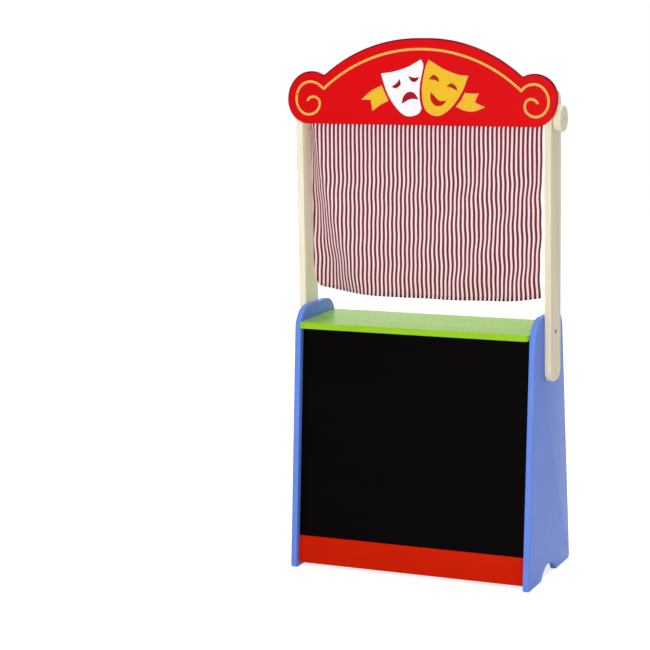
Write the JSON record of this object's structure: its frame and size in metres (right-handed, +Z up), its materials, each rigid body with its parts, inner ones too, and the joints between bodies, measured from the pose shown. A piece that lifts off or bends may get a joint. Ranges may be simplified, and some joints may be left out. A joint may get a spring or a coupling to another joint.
{
  "type": "puppet theater stand",
  "caption": "Free-standing children’s puppet theatre: painted side panels, counter shelf, chalkboard front, header board with two painted masks and a striped curtain on a hand-turned roller.",
  "frame": {"origin": "on the floor under the roller’s axis, midway between the side panels", "axes": "+X to the right seen from the audience side, +Y to the back where the puppeteer stands, +Z up"},
  "size_m": [0.5998, 0.2823, 1.13],
  "materials": {
    "blue_paint": "satin blue paint over wood-fibre board",
    "green_paint": "satin yellow-green paint over wood-fibre board",
    "red_paint": "satin red paint over wood-fibre board, with a printed scroll and masks on the header",
    "chalkboard_paint": "matt black chalkboard paint over thin hardboard",
    "pale_wood": "clear-lacquered pale wood with fine straight grain",
    "knob_wood": "clear-lacquered turned wood",
    "steel": "zinc-plated steel, dull",
    "striped_cloth": "woven cotton with narrow maroon and white stripes down its length"
  },
  "bodies": {
    "stand": {"side_panel_left": "blue_paint", "side_panel_right": "blue_paint", "counter_shelf": "green_paint", "chalkboard": "chalkboard_paint", "kick_board_front": "red_paint", "kick_board_rear": "red_paint", "upright_left": "pale_wood", "upright_right": "pale_wood", "header_board": "red_paint", "shelf_screw_left": "steel", "upright_bolt_left": "steel", "sleeve_nut_left": "steel", "kick_screw_front_left": "steel", "kick_screw_rear_left": "steel", "shelf_dowel_front_left": "pale_wood", "kick_dowel_front_left": "pale_wood", "shelf_dowel_rear_left": "pale_wood", "kick_dowel_rear_left": "pale_wood", "header_screw_left_1": "steel", "header_screw_left_2": "steel", "shelf_screw_right": "steel", "upright_bolt_right": "steel", "sleeve_nut_right": "steel", "kick_screw_front_right": "steel", "kick_screw_rear_right": "steel", "shelf_dowel_front_right": "pale_wood", "kick_dowel_front_right": "pale_wood", "shelf_dowel_rear_right": "pale_wood", "kick_dowel_rear_right": "pale_wood", "header_screw_right_1": "steel", "header_screw_right_2": "steel"},
    "roller": {"curtain_roller": "pale_wood", "wound_cloth": "striped_cloth", "winding_knob": "knob_wood", "knob_screw": "steel"},
    "curtain": {"curtain": "striped_cloth"}
  },
  "joints": [
    {"name": "roller_turn", "type": "hinge", "parent": "stand", "child": "roller", "pos_m": [0, 0, 0.966], "axis": [-1, 0, 0], "range_deg": [0, 1190]},
    {"name": "curtain_lift", "type": "slide", "parent": "stand", "child": "curtain", "axis": [0, 0, 1], "range_m": [0, 0.36], "deforming": ["curtain"]}
  ],
  "couplings": [
    {"joint": "curtain_lift", "follows": "roller_turn", "m_per_rad": 0.0173}
  ]
}
